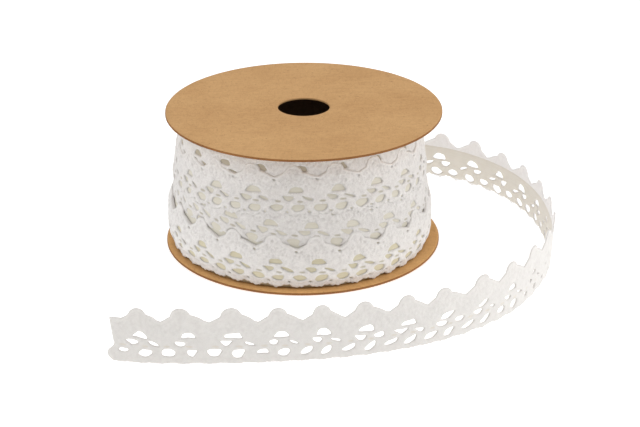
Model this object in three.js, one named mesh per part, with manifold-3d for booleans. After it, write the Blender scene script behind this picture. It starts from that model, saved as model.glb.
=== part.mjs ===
// Roll of crochet lace trim on a card spool, its loose end standing on edge in a wide curve beside it.
// Millimetres, +Z up. The spool stands on its lower flange and is seen from the front along +Y.
// The origin is at the middle of the underside of the whole thing, spool and loose end together.
import * as THREE from "three";
import { mergeVertices } from "three/addons/utils/BufferGeometryUtils.js";
import Module from "manifold-3d";

// Card spool: two flanges with a spindle hole, joined by a wide tube.
const flangeRadius = 42.5;
const cardThickness = 0.7;
const spindleHoleRadius = 8;
const spoolHeight = 43.3;
const tubeRadius = 22;
const tubeWall = 1.2;
const seatGap = 0.3;
const roundSegments = 48;

// Lace: one repeat is a scallop over a dense fan, with three rows of gaps under it.
// Places along the repeat run to the right on the outer face. Heights are above the picots.
const repeatLength = 12.75;
const laceThickness = 1;
const scallop = {
  seamHeight: 12.6,
  valleyAt: 1.25,
  valleyHeight: 12.1,
  footAt: 4.35,
  footHeight: 13.7,
  domeAt: 6.85,
  domeHeight: 13.5,
  domeRadius: 2.5,
  domeStart: 170,
  domeEnd: 10,
  bulgeAt: 11.75,
  bulgeHeight: 13.5,
};
const picots = { first: 0.7, second: 7, rise: 0.45, seamRise: 0.15 };

// Each gap: its middle in the repeat, and its full width and height.
const gaps = [
  { at: 7.85, height: 7.85, wide: 4.3, high: 1.9, form: "fan", onRoll: true },
  { at: 2.35, height: 2.75, wide: 3.9, high: 2.1, form: "eye", onRoll: true },
  { at: 8.65, height: 2.75, wide: 3.9, high: 2.1, form: "eye", onRoll: true },
  { at: 5.55, height: 5.4, wide: 3, high: 1.3, form: "boat", onRoll: false },
  { at: 10.9, height: 5.4, wide: 3, high: 1.3, form: "boat", onRoll: false },
];
const gapForms = {
  fan: [[-0.5, -0.45], [0.5, -0.5], [0.32, 0.45], [-0.26, 0.5], [-0.44, 0]],
  boat: [[-0.5, 0.45], [-0.25, -0.3], [0.2, -0.5], [0.5, 0.15], [0.1, 0.5]],
  eye: [[-0.5, 0.05], [-0.3, -0.45], [0.2, -0.5], [0.5, -0.05], [0.3, 0.5], [-0.3, 0.42]],
};
const uneven = { shift: 0.24, size: 0.18 };
const unevenFeature = { across: 0, up: 7, wide: 13, high: 19 };
const outlineSteps = 2;

// Wound lace. The turns lie off the spool's axis, and bulge at the foot.
const windingShift = -1.2;
const windingRadius = 39.8;
const windingProfile = [
  { height: 1, radius: 39.9 },
  { height: 8, radius: 40.2 },
  { height: 16, radius: 39.9 },
  { height: 21, radius: 39.4 },
  { height: 27, radius: 38.3 },
  { height: 34, radius: 37.4 },
  { height: 42.3, radius: 37 },
];

// The outer turns, counter-clockwise from where the loose end leaves, at this angle from +X.
// Each row: degrees along the turns, the height of the picots, and how far out the outer face lies.
const leavingAngle = 100;
const outerTurns = [
  { angle: 0, picots: 2.7, out: 2.5 },
  { angle: 45, picots: 1.5, out: 1.3 },
  { angle: 90, picots: 1.15, out: 1 },
  { angle: 170, picots: 1.1, out: 1 },
  { angle: 230, picots: 1.1, out: 1 },
  { angle: 260, picots: 1.4, out: 1 },
  { angle: 305, picots: 4.5, out: 1 },
  { angle: 395, picots: 18, out: 1 },
  { angle: 440, picots: 22.2, out: 1 },
  { angle: 530, picots: 24.2, out: 1 },
  { angle: 620, picots: 26, out: 1 },
  { angle: 665, picots: 25.9, out: 0.8 },
  { angle: 730, picots: 25.9, out: -0.3 },
];
const woundRepeats = 40;
const firstPlainRepeat = 36;
const sunkDepth = 1;

// Gaps of the inner turns that show between the outer ones: one row of fans for each inner turn.
const innerGaps = [
  { angle: 173.9, height: 21.6, fallPerDegree: 0.0222 },
  { angle: 150.5, height: 38.6, fallPerDegree: 0 },
];
const innerGapsRound = 19;
const innerGapDepth = 0.8;
const showMargin = 1.4;

// Loose end: its line on the table from the cut end to the roll, seen from above, about the spool's axis.
const tailRoute = [
  { x: -57, y: -79 },
  { x: -45.4, y: -82.3 },
  { x: -33.5, y: -83.3 },
  { x: -6.5, y: -82.3 },
  { x: 17.1, y: -78.5 },
  { x: 40, y: -69.5 },
  { x: 60.1, y: -53.2 },
  { x: 71.6, y: -33 },
  { x: 75.2, y: -20 },
  { x: 75.7, y: -7 },
  { x: 74.5, y: 6 },
  { x: 71.3, y: 17.8 },
  { x: 65.6, y: 29.3 },
  { x: 57.3, y: 39.5 },
  { x: 46.3, y: 47.5 },
  { x: 30, y: 51.9 },
  { x: 8, y: 45.6 },
];
const tailRepeats = 23;
const cutMargin = 2.2;
const settles = { from: 22, to: 38 };
const lean = { at: 172, reach: 48, most: 2.6 };
const straightStart = 2.4;
const routeSamples = 600;

// Points of a surface closer than this are one point.
const weldDistance = 1e-4;

const wasm = await Module();
wasm.setup();

const radians = THREE.MathUtils.degToRad;
const degrees = THREE.MathUtils.radToDeg;
const repeatAngle = degrees(repeatLength / windingRadius);

// A repeatable number between -0.5 and 0.5 for a repeat and a feature of it.
function unevenness(repeat, feature) {
  const wave = Math.sin(repeat * 12.9898 + feature * 78.233) * 43758.5453;
  return wave - Math.floor(wave) - 0.5;
}

// The smooth value of one column of a table at a place in another column.
function along(rows, key, column, place) {
  const last = rows.length - 1;
  if (place <= rows[0][key]) return rows[0][column];
  if (place >= rows[last][key]) return rows[last][column];
  const i = rows.findIndex((row) => row[key] > place) - 1;
  const slope = (a, b) => (rows[b][column] - rows[a][column]) / (rows[b][key] - rows[a][key]);
  const before = slope(Math.max(i - 1, 0), i + 1);
  const after = slope(i, Math.min(i + 2, last));
  const span = rows[i + 1][key] - rows[i][key];
  const t = (place - rows[i][key]) / span;
  const start = rows[i][column] + before * span * t * (1 - t) * (1 - t);
  const rise = (rows[i + 1][column] - rows[i][column]) * t * t * (3 - 2 * t);
  return start + rise - after * span * t * t * (1 - t);
}

// A closed three.js geometry as a solid, and a solid's largest body as a three.js geometry.
function toSolid(geometry) {
  const bare = new THREE.BufferGeometry();
  bare.setAttribute("position", geometry.getAttribute("position"));
  if (geometry.index) bare.setIndex(geometry.index);
  const merged = mergeVertices(bare, weldDistance);
  const vertProperties = merged.attributes.position.array;
  const triVerts = new Uint32Array(merged.index.array);
  return new wasm.Manifold(new wasm.Mesh({ numProp: 3, vertProperties, triVerts }));
}
function toGeometry(solid) {
  const [largest] = solid.decompose().sort((a, b) => b.volume() - a.volume());
  const mesh = largest.getMesh();
  const geometry = new THREE.BufferGeometry();
  geometry.setAttribute("position", new THREE.BufferAttribute(mesh.vertProperties, 3));
  geometry.setIndex(new THREE.BufferAttribute(mesh.triVerts, 1));
  geometry.computeVertexNormals();
  return geometry;
}

// The upper edge of one repeat, from seam to seam: valley, straight rise, round dome, bulging fall.
function scallopPoints() {
  const edge = new THREE.Path();
  edge.moveTo(0, scallop.seamHeight);
  edge.lineTo(scallop.valleyAt, scallop.valleyHeight);
  edge.lineTo(scallop.footAt, scallop.footHeight);
  const from = radians(scallop.domeStart);
  const to = radians(scallop.domeEnd);
  edge.absarc(scallop.domeAt, scallop.domeHeight, scallop.domeRadius, from, to, true);
  edge.quadraticCurveTo(scallop.bulgeAt, scallop.bulgeHeight, repeatLength, scallop.seamHeight);
  return edge.getPoints(outlineSteps);
}

// The lower edge of one repeat between its seams, from right to left: two picots that touch down.
function picotPoints() {
  const { first, second, rise } = picots;
  const rows = [
    { x: (second + first + repeatLength) / 2, y: rise },
    { x: second, y: 0 },
    { x: (first + second) / 2, y: rise },
    { x: first, y: 0 },
  ];
  return rows.map((row) => new THREE.Vector2(row.x, row.y));
}

// The outline of a gap in a repeat, a little different in each.
function gapPoints(gap, repeat, feature) {
  const chance = (kind) => unevenness(repeat, feature + unevenFeature[kind]);
  const atX = gap.at + uneven.shift * chance("across");
  const atY = gap.height + uneven.shift * chance("up");
  const wide = gap.wide * (1 + uneven.size * chance("wide"));
  const high = gap.high * (1 + uneven.size * chance("high"));
  return gapForms[gap.form].map(([x, y]) => new THREE.Vector2(atX + x * wide, atY + y * high));
}

// A lace band of whole repeats as one closed geometry. The place function turns a length along
// the band, a height above the picots and a face, 0 inside or 1 outside, into a point.
function laceBand(repeats, gapsOf, place) {
  const near = new THREE.Vector2(0, picots.seamRise);
  const far = new THREE.Vector2(repeatLength, picots.seamRise);
  const positions = [];
  const triangle = (a, b, c) => positions.push(...a, ...b, ...c);
  const wall = (a, b) => {
    triangle(a[1], b[0], b[1]);
    triangle(a[1], a[0], b[0]);
  };
  for (let i = 0; i < repeats; i += 1) {
    // A point on the far seam is worked out as the next repeat's near seam, so that both agree.
    const lift = (p) => {
      const length = p.x === repeatLength ? (i + 1) * repeatLength : i * repeatLength + p.x;
      return [place(length, p.y, 0), place(length, p.y, 1)];
    };
    const contour = [...scallopPoints(), far, ...picotPoints(), near].reverse();
    const holes = gapsOf(i).map((hole) => (THREE.ShapeUtils.isClockWise(hole) ? hole : hole.reverse()));
    const faces = THREE.ShapeUtils.triangulateShape(contour, holes);
    const points = [...contour, ...holes.flat()].map(lift);
    for (const [a, b, c] of faces) {
      triangle(points[a][1], points[b][1], points[c][1]);
      triangle(points[c][0], points[b][0], points[a][0]);
    }
    for (const loop of [contour, ...holes]) {
      const ring = loop.map(lift);
      loop.forEach((p, k) => {
        const next = (k + 1) % loop.length;
        const onNearSeam = p.x === 0 && loop[next].x === 0;
        const onFarSeam = p.x === repeatLength && loop[next].x === repeatLength;
        if (onNearSeam && i > 0) return;
        if (onFarSeam && i < repeats - 1) return;
        wall(ring[k], ring[next]);
      });
    }
  }
  const geometry = new THREE.BufferGeometry();
  geometry.setAttribute("position", new THREE.Float32BufferAttribute(positions, 3));
  return geometry;
}

// A ring about the spool's axis between two radii and two heights.
function ringGeometry(inner, outer, bottom, top) {
  const corners = [
    [inner, bottom],
    [outer, bottom],
    [outer, top],
    [inner, top],
    [inner, bottom],
  ];
  const profile = corners.map(([radius, height]) => new THREE.Vector2(radius, height));
  return new THREE.LatheGeometry(profile, roundSegments).rotateX(Math.PI / 2);
}

function flangeGeometry(bottom) {
  return ringGeometry(spindleHoleRadius, flangeRadius, bottom, bottom + cardThickness);
}

// A cylinder about the spool's axis that reaches past both of its ends.
function throughCylinder(radius) {
  return new THREE.CylinderGeometry(radius, radius, 3 * spoolHeight, roundSegments).rotateX(Math.PI / 2);
}

// The tube between the flanges, seen only as the dark inside of the spindle hole.
function tubeGeometry() {
  const bottom = cardThickness + seatGap;
  return ringGeometry(tubeRadius - tubeWall, tubeRadius, bottom, spoolHeight - bottom);
}

// The point on the roll at degrees along the outer turns, a height, and a depth out of the inner turns.
function onRoll(angle, height, out) {
  const heading = radians(leavingAngle + angle);
  const radius = along(windingProfile, "height", "radius", height) + out * laceThickness;
  return [windingShift + radius * Math.cos(heading), radius * Math.sin(heading), height];
}

// A point of the outer turns, on their outer face or sunk into the turns below.
function onOuterTurns(length, height, face) {
  const angle = degrees(length / windingRadius);
  const lifted = along(outerTurns, "angle", "picots", angle) + height;
  return onRoll(angle, lifted, face === 1 ? along(outerTurns, "angle", "out", angle) : -sunkDepth);
}

// Whether an outer turn lies over a place on the inner turns.
function isCovered(angle, height) {
  const last = outerTurns[outerTurns.length - 1].angle;
  for (let turn = angle; turn < last; turn += 360) {
    const foot = along(outerTurns, "angle", "picots", turn);
    const overFoot = height > foot - showMargin;
    if (overFoot && height < foot + scallop.valleyHeight + showMargin) return true;
  }
  return false;
}

// The pockets of the inner turns' gaps that are not covered, as one solid to cut away.
function innerGapSolids() {
  const fan = gaps[0];
  const solids = [];
  innerGaps.forEach((row, k) => {
    for (let i = 0; i < innerGapsRound; i += 1) {
      const step = repeatAngle * (i - Math.floor(innerGapsRound / 2));
      const angle = THREE.MathUtils.euclideanModulo(row.angle + step, 360);
      const height = row.height - row.fallPerDegree * step;
      if (isCovered(angle, height)) continue;
      const outline = gapPoints({ ...fan, at: 0, height: 0 }, i, k);
      const depth = innerGapDepth + laceThickness;
      const pocket = new THREE.ExtrudeGeometry(new THREE.Shape(outline), { depth, bevelEnabled: false });
      pocket.rotateX(Math.PI / 2);
      pocket.rotateZ(radians(leavingAngle + angle) + Math.PI / 2);
      pocket.translate(...onRoll(angle, height, -innerGapDepth));
      solids.push(toSolid(pocket));
    }
  });
  return solids.reduce((all, solid) => all.add(solid));
}

// The wound lace: the inner turns as one body, the outer turns on it, and the way for the tube.
function rollGeometry() {
  const first = windingProfile[0];
  const last = windingProfile[windingProfile.length - 1];
  const profile = [
    new THREE.Vector2(0, first.height),
    ...windingProfile.map((row) => new THREE.Vector2(row.radius, row.height)),
    new THREE.Vector2(0, last.height),
  ];
  const body = new THREE.LatheGeometry(profile, roundSegments).rotateX(Math.PI / 2);
  body.translate(windingShift, 0, 0);
  const rollGaps = (i) => {
    const cut = i < firstPlainRepeat ? gaps.filter((gap) => gap.onRoll) : [];
    return cut.map((gap, k) => gapPoints(gap, -i, k));
  };
  const turns = toSolid(laceBand(woundRepeats, rollGaps, onOuterTurns));
  const bore = throughCylinder(tubeRadius + seatGap);
  return toGeometry(toSolid(body).subtract(innerGapSolids()).add(turns).subtract(toSolid(bore)));
}

// The line of the loose end on the table, from the cut end to where it meets the outer turns.
function tailCurve() {
  const middle = outerTurns[0].out - 0.5;
  const meets = onRoll(0, outerTurns[0].picots, middle);
  const before = onRoll(-degrees(straightStart / windingRadius), outerTurns[0].picots, middle);
  const points = [...tailRoute.map((row) => [row.x, row.y]), before, meets];
  const curve = new THREE.CatmullRomCurve3(points.map(([x, y]) => new THREE.Vector3(x, y, 0)));
  curve.curveType = "centripetal";
  curve.arcLengthDivisions = routeSamples;
  return curve;
}

// The loose end: it stands on the table, and near the roll it climbs over the lower flange.
function tailGeometry() {
  const curve = tailCurve();
  const total = curve.getLength();
  const bandLength = tailRepeats * repeatLength;
  const place = (bandPlace, height, face) => {
    const length = bandPlace === 0 ? -cutMargin : bandPlace;
    const fromRoll = bandLength - length + seatGap;
    const share = THREE.MathUtils.clamp(1 - fromRoll / total, 0, 1);
    const at = curve.getPointAt(share);
    const heading = curve.getTangentAt(share);
    const settled = THREE.MathUtils.smoothstep(fromRoll, settles.from, settles.to);
    const foot = (1 - settled) * outerTurns[0].picots;
    const away = THREE.MathUtils.smoothstep(Math.abs(length - lean.at), 0, lean.reach);
    const leaning = (lean.most * (1 - away) * height) / scallop.domeHeight;
    const out = (face - 0.5) * laceThickness + leaning;
    return [at.x + out * heading.y, at.y - out * heading.x, foot + height];
  };
  return laceBand(tailRepeats, (i) => gaps.map((gap, k) => gapPoints(gap, i, k)), place);
}

const kraft = new THREE.MeshStandardMaterial({ color: 0xc79d67, roughness: 0.85, metalness: 0 });
const darkCard = new THREE.MeshStandardMaterial({ color: 0x2a2018, roughness: 0.95, metalness: 0 });
const cotton = new THREE.MeshStandardMaterial({ color: 0xe9e6e1, roughness: 0.95, metalness: 0 });

function piece(name, geometry, material) {
  const mesh = new THREE.Mesh(geometry, material);
  mesh.name = name;
  return mesh;
}

const roll = new THREE.Group();
roll.add(piece("flange_bottom", flangeGeometry(0), kraft));
roll.add(piece("flange_top", flangeGeometry(spoolHeight - cardThickness), kraft));
roll.add(piece("core_tube", tubeGeometry(), darkCard));
roll.add(piece("lace_roll", rollGeometry(), cotton));
roll.add(piece("lace_tail", tailGeometry(), cotton));

// The origin goes to the middle of the underside of everything.
const extent = new THREE.Box3().setFromObject(roll, true);
const middle = extent.getCenter(new THREE.Vector3());
roll.position.set(-middle.x, -middle.y, -extent.min.z);

export default roll;
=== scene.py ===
import math

import bpy
import numpy as np
from mathutils import Matrix, Vector


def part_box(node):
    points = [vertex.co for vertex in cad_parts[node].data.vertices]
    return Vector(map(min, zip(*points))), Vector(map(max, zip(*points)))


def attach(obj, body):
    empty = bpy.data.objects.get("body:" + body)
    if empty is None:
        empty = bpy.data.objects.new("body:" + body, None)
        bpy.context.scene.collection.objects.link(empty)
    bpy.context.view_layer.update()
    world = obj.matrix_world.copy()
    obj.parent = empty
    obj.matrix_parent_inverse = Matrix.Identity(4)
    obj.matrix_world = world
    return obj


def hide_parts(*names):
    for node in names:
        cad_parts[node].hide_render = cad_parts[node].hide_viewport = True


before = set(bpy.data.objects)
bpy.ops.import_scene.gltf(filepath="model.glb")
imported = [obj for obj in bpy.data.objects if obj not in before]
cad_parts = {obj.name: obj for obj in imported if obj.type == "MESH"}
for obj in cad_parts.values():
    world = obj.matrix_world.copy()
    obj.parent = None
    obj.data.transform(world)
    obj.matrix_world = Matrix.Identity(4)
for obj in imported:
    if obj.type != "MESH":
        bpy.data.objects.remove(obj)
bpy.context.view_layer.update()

MM = 0.001
box_low, box_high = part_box("flange_bottom")
AXIS = Vector(((box_low.x + box_high.x) / 2, (box_low.y + box_high.y) / 2, box_low.z))

# Camera, fitted to the flange ellipses.
CAMERA_AT = (4.91, -534.84, 243.49)
CAMERA_PITCH = 23.776
CAMERA_ROLL = -0.0028
CAMERA_LENS = 104.42

# Card spool. The lower flange is larger and off the axis, and the upper hole lies further back.
FLANGE_RADIUS = 42.5
LOWER_RADIUS = FLANGE_RADIUS + 0.4
LOWER_RIM_SHIFT = (-0.5, 0.6)
UPPER_HOLE_SHIFT = (0, 1.2)
CARD = 0.7
CARD_BEVEL = 0.12
RIM_SWELL = 0.03
RIM_WOBBLE = 0.0006
RIM_SEGMENTS = 240
HOLE_RADIUS = 8.0
SPOOL_HEIGHT = 43.3
TUBE_CLEAR = 22.5

# Lace: places along one repeat run to the right on the outer face, heights are above the picots.
REPEAT = 12.75
# One scallop: valley, left foot of the dome, the dome, the right shoulder, and the seam's height.
LOOSE_SCALLOP = {
    "valley": (1.25, 12.1), "foot": (4.0, 13.75), "middle": (6.85, 13.4), "radius": 2.8, "arc": (154, 18),
    "bulge": (11.75, 13.5), "seam": 12.6,
}
ROLL_SCALLOP = {
    "valley": (1.7, 11.8), "foot": (4.05, 13.2), "middle": (6.9, 12.8), "radius": 2.85, "arc": (150, 12),
    "bulge": (11.6, 13.0), "seam": 12.35,
}
# How rough the lower edge is at each place along, and how far it hangs below the picots' zero.
LOOSE_ROUGH = [(0, 0.45), (90, 0.6), (150, 1.4), (180, 1.9), (300, 1.9)]
LOOSE_DROP = [(-3, 0.95), (20, 0.9), (45, 0.6), (110, 0.5), (165, 0), (300, 0)]
ROLL_ROUGH = [(-400, 1.9), (1000, 1.9)]
ROLL_DROP = [(-400, 0.65), (1000, 0.65)]
LOW_DROP = [
    (-20, 0), (4, 0), (25, 1.0), (50, 1.9), (75, 1.95), (95, 1.7), (120, 1.4), (170, 1.35), (190, 0.9),
    (300, 0.65),
]
# Picots, and the finer beads of the thread along them.
PICOTS_AT = 1.15
PICOT_STEP = REPEAT / 2
PICOT_RISE = 0.42
BEAD_STEP = 1.594
BEAD_RISE = 0.2
PICOT_LOWEST, PICOT_LIFT = -0.07, 0.1
# Heights that the pattern's grid, scallops and foot cover, and a distance far from any edge.
GRID_LOW, GRID_HIGH = -2.2, 17.1
SCALLOPS_FROM, FOOT_TO = 10.6, 1.6
FOOT_SAMPLE = 0.2
GAP_REACH = 1.2
FAR_INSIDE = 3.0

# Each gap: form, middle along the repeat, its height there, width and height. Slots are only thin
# places, and the others are open.
GAPS = [
    ("fan", 7.8, 7.75, 4.3, 1.75),
    ("eye_left", 2.25, 2.4, 3.6, 2.1),
    ("eye_right", 8.5, 2.35, 3.6, 2.1),
    ("boat_left", 5.55, 5.2, 3.3, 1.5),
    ("boat_right", 11.15, 5.15, 3.3, 1.4),
    ("slot", 2.7, 4.45, 1.5, 0.32),
    ("slot", 8.85, 4.4, 1.5, 0.32),
    ("dot", 5.3, 1.05, 0.85, 0.55),
    ("dot", 11.6, 1.0, 0.85, 0.55),
    ("dot", 1.35, 10.9, 0.9, 0.55),
]
LOOSE_GAPS = [
    ("fan", 7.6, 7.9, 4.1, 1.85),
    ("eye_left", 2.4, 2.8, 3.5, 1.9),
    ("eye_right", 8.55, 2.55, 3.4, 2.15),
    ("boat_left", 5.5, 5.6, 2.9, 1.4),
    ("boat_right", 11.25, 5.4, 2.9, 1.2),
    ("slot", 2.7, 4.7, 1.5, 0.35),
    ("slot", 8.85, 4.6, 1.5, 0.35),
]
# The open gaps of the first repeats of the loose end, each with its own place and size.
FIRST_GAPS = {
    0: [
        ("peak", 7.6, 7.9, 4.4, 2.3), ("eye_left", 2.6, 3.0, 2.7, 1.1),
        ("eye_right", 8.95, 2.4, 3.9, 2.15), ("boat_left", 5.15, 5.65, 3.5, 1.35),
        ("boat_right", 11.4, 5.4, 3.2, 1.5),
    ],
    1: [
        ("block", 8.55, 7.95, 3.5, 1.65), ("eye_left", 3.15, 2.6, 4.1, 2.3),
        ("funnel", 9.65, 2.5, 2.75, 2.05), ("boat_left", 6.5, 5.3, 3.1, 1.25),
    ],
    2: [
        ("block", 7.1, 7.95, 4.6, 1.5), ("eye_left", 2.35, 2.85, 3.6, 2.0),
        ("eye_right", 8.4, 2.55, 3.45, 2.3), ("funnel", 5.5, 5.75, 3.5, 1.4),
        ("boat_right", 11.55, 5.5, 2.6, 1.2),
    ],
    3: [
        ("fan", 7.55, 8.0, 4.1, 1.7), ("block", 2.15, 3.05, 3.1, 1.4),
        ("eye_right", 8.25, 2.5, 3.35, 2.3), ("eye_left", 5.35, 5.75, 2.3, 1.55),
        ("boat_right", 11.1, 5.55, 2.9, 1.2),
    ],
    4: [
        ("fan", 7.35, 8.15, 4.0, 2.0), ("lens", 2.35, 2.8, 3.6, 2.15), ("lens", 8.2, 2.55, 3.15, 2.35),
        ("boat_left", 5.5, 5.8, 2.8, 1.3), ("boat_right", 11.1, 5.45, 3.0, 0.95),
    ],
    5: [
        ("block", 7.4, 7.8, 4.4, 1.9), ("lens", 2.2, 2.6, 4.1, 1.8), ("lens", 8.6, 2.3, 3.25, 2.4),
        ("boat_left", 5.7, 5.25, 3.15, 1.4), ("eye_right", 11.2, 5.4, 2.85, 1.5),
    ],
    6: [
        ("block", 7.4, 7.6, 4.2, 1.7), ("lens", 1.95, 2.6, 3.6, 1.7), ("lens", 7.9, 2.25, 3.6, 2.3),
        ("funnel", 4.95, 5.35, 3.9, 1.5), ("boat_left", 11.15, 4.8, 2.8, 1.2),
    ],
    7: [
        ("lens", 8.1, 7.3, 4.05, 1.9), ("lens", 2.4, 2.35, 4.4, 1.8), ("lens", 8.6, 2.1, 3.0, 2.1),
        ("eye_left", 6.2, 5.1, 3.5, 1.3), ("eye_right", 12.0, 5.1, 2.6, 1.2),
    ],
    8: [
        ("lens", 7.5, 7.3, 3.3, 1.7), ("lens", 2.1, 2.3, 3.8, 1.7), ("lens", 8.2, 2.2, 3.5, 2.1),
        ("eye_left", 5.45, 5.2, 2.75, 1.4), ("dot", 11.2, 5.3, 1.7, 0.9),
    ],
}
# The outline of each form of gap, in hundredths of its width and height.
FORMS = {
    "fan": [(-50, -42), (-38, 20), (-14, 48), (16, 50), (34, 22), (50, -38), (10, -50), (-25, -47)],
    "boat_left": [(-50, 46), (-10, 50), (38, 36), (50, 2), (26, -44), (-4, -48), (-28, -12)],
    "boat_right": [(-50, 50), (-12, 34), (34, 0), (50, -44), (18, -50), (-16, -16), (-36, 14)],
    "eye_left": [(-50, 16), (-30, 44), (10, 50), (44, 34), (50, -6), (24, -46), (-14, -50), (-40, -20)],
    "eye_right": [(-50, 4), (-26, 40), (12, 50), (46, 40), (48, -4), (20, -44), (-16, -50), (-42, -26)],
    "peak": [(-50, -10), (-30, 20), (-12, 50), (8, 42), (28, 5), (50, -42), (20, -46), (-20, -20)],
    "block": [(-50, -30), (-34, 28), (0, 44), (34, 46), (48, 10), (50, -40), (10, -40), (-30, -42)],
    "funnel": [(-50, 30), (-26, 46), (20, 44), (50, 46), (36, 10), (6, -50), (-14, -44), (-36, -5)],
    "lens": [(-50, -36), (-28, 16), (12, 44), (48, 50), (38, 4), (6, -38), (-26, -50)],
    "slot": [(-50, 30), (0, 50), (50, 10), (40, -40), (-10, -40)],
    "dot": [(-50, 30), (0, 50), (50, 0), (10, -50), (-30, -20)],
}
# How far a gap's place, size and corners, and a scallop's points, change from repeat to repeat.
SHIFT, SIZE = 0.24, 0.18
CORNER_ACROSS, CORNER_UP = 0.13, 0.16
SCALLOP_ACROSS, DOME_UP, DOME_SIZE, DOME_FOOT_UP = 0.3, 0.5, 0.2, 0.25
SALTS = {"across": 0, "up": 7, "wide": 13, "high": 19, "form": 31, "scallop": 50}
# The share of its height that a gap keeps however narrow it is.
HEIGHT_KEPT = 0.4
ROLL_LACE = {"scallop": ROLL_SCALLOP, "rough": ROLL_ROUGH, "gaps": GAPS, "first_gaps": {}, "sign": -1}
LOOSE_LACE = {
    "scallop": LOOSE_SCALLOP, "rough": LOOSE_ROUGH, "gaps": LOOSE_GAPS, "first_gaps": FIRST_GAPS, "sign": 1,
}
# Weave: fan stitches spread from this place of each repeat, in ribs and rows.
FAN_AT, FAN_HEIGHT = 7.3, 1.5
FAN_RIBS, FAN_ROW = 50, 1.25
# The corded edge of the scallops: where it starts and ends, and the groove below it.
CORD_OUTER, CORD_INNER = (-0.3, 0.3), (1.25, 0.75)
GROOVE_AT, GROOVE_WIDE = 1.05, 0.22
CORD_RISE, CORD_SMOOTH = 0.05, 0.55

# Wound lace: radius of the inner turns at each height, and the outer turns' path.
WINDING_SHIFT = -1.2
WINDING_RADIUS = 39.8
PER_DEGREE = WINDING_RADIUS * math.pi / 180
PROFILE = [
    (1, 39.9), (8, 40.2), (16, 39.9), (21, 39.4), (27, 38.3), (34, 37.4), (42.3, 37),
]
LEAVING_ANGLE = 100
FRONT_ANGLE = 170
# Gaps are narrower at the two sides: 45 to 75 degrees off the front they narrow, and from 105 to
# 135 they widen again.
SIDE_NARROW = 0.3
SIDE_FROM, SIDE_TO = (45, 75), (-135, -105)
OUTER_FOOT = [
    (0, 2.7), (45, 2.6), (90, 2.85), (130, 2.85), (160, 2.5), (185, 2.2), (215, 2.05), (245, 2.2), (270, 2.9),
    (305, 5.2), (395, 18), (440, 21.4), (489, 22.9), (508, 23.8), (527, 24.35), (546, 24.4), (565, 24),
    (584, 23.4), (620, 23.6), (665, 25), (730, 26), (760, 27.2), (820, 29.4), (890, 30.6), (1100, 30.9),
]
OUTER_OUT = [
    (0, 2.3), (45, 1.6), (80, 1.35), (105, 1.05), (130, 0.85), (620, 0.85), (665, 0.75), (730, 0.5),
    (800, 0.5), (1040, 0.3), (1100, 0),
]
# How far the pattern of the outer turns is pulled along from even repeats.
OUTER_PULL = [
    (0, 0), (60, 1.2), (113, 1.9), (149, 1.6), (185, 1), (221, 0.5), (300, 0.2), (440, 0.2), (479, 1),
    (517, 2.1), (555, 3.1), (574, 3.5), (640, 3.6), (730, 2.6), (870, -0.9), (1100, -0.9),
]
MIDDLE_FOOT = [
    (0, 12.6), (60, 14.9), (110, 15.5), (136, 14.9), (155, 14.2), (174, 13.6), (193, 12.9), (210, 12.3),
    (240, 11.6), (300, 10.9), (360, 10.3),
]
BASE_FOOT = [(240, 1.6), (420, 1.6)]
FLAT_OUT = [(0, 0), (1100, 0)]
# Each turn that shows: its first and last angle, the height of its foot, and how far it stands out.
TURNS = {
    "low": (0, 365, OUTER_FOOT, OUTER_OUT),
    "high": (365, 730, OUTER_FOOT, OUTER_OUT),
    "top": (730, 1095, OUTER_FOOT, OUTER_OUT),
    "middle": (0, 360, MIDDLE_FOOT, FLAT_OUT),
    "base": (250, 405, BASE_FOOT, FLAT_OUT),
}
# The inner turns aren't drawn where the outer ones cover them, which end at this angle.
COVER_END, COVER_MARGIN = 725, 1.6
# The scallops and feet of each turn draw in to the turn beneath, the feet's heights counted down.
TIP_TAPER, LOW_TIP_TAPER = 0.35, 0.65
FOOT_TAPER, LOW_FOOT_TAPER = 0.6, 1.0
TIP_TAPERS, FOOT_TAPERS = (11, 15), (-2.6, 0)
# Walls go down from each edge, at the scallops to the inner turns and elsewhere to the film.
WALL_DEPTH = 0.8
SCALLOP_WALLS_FROM = 10
INTO_TURNS = 0.15
LEAST_WALL, LEAST_SCALLOP_WALL = 0.3, 0.1
SLOT_DENT = 0.2
TOP_CLIP = 42.3
# Film behind the turns. Below the lace's foot it comes forward, as the edge of the turn beneath.
FILM_DEPTH, DEEP_FILM_DEPTH = 0.56, 0.36
FILM_EDGE, LOW_FILM_EDGE, MIDDLE_FILM_EDGE = 0.7, 0.85, -2.0
FILM_FORWARD, FILM_FORWARD_FROM = 0.2, (0, 1.2)
FILM_DEGREES, FILM_ROWS = 1.5, 9
# The drum of the inner turns, below their face and clear of the card.
DRUM_DEEP = 1.1
DRUM_FOOT = [(TUBE_CLEAR, 1.0), (38.7, 1.0), (38.85, 2.4)]
DRUM_FROM, DRUM_ROWS, DRUM_SEGMENTS = 3.6, 23, 160

# Loose end, from the cut end to the roll.
TAIL_ROUTE = [
    (-57, -79), (-45.4, -82.3), (-33.5, -83.3), (-6.5, -82.3), (17.1, -78.5), (40, -69.5), (60.1, -53.2),
    (71.6, -33), (75.2, -20), (75.7, -7), (74.5, 6), (71.3, 17.8), (65.6, 29.3), (57.3, 39.5), (46.3, 47.5),
    (30, 51.9), (8, 45.6),
]
TAIL_REPEATS = 23
# The cut end: how far each height reaches past the first seam.
CUT_LINE = [
    (-0.9, -0.5), (-0.1, -1.3), (0.8, -2.05), (1.6, -2.2), (2.6, -1.85), (3.5, -0.9), (4.3, -0.2), (6, -0.35),
    (9, -0.75), (12.5, -1.15), (17, -1.3),
]
# The corner at the top of the cut: its level edge, the rise after it, and how far it is filled.
CUT_TOP = 12.75
CUT_RISE, CUT_RISE_FROM = 3, 0.8
CUT_FILL_FROM, CUT_FILL_WIDE = 10.4, 2.4
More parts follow.
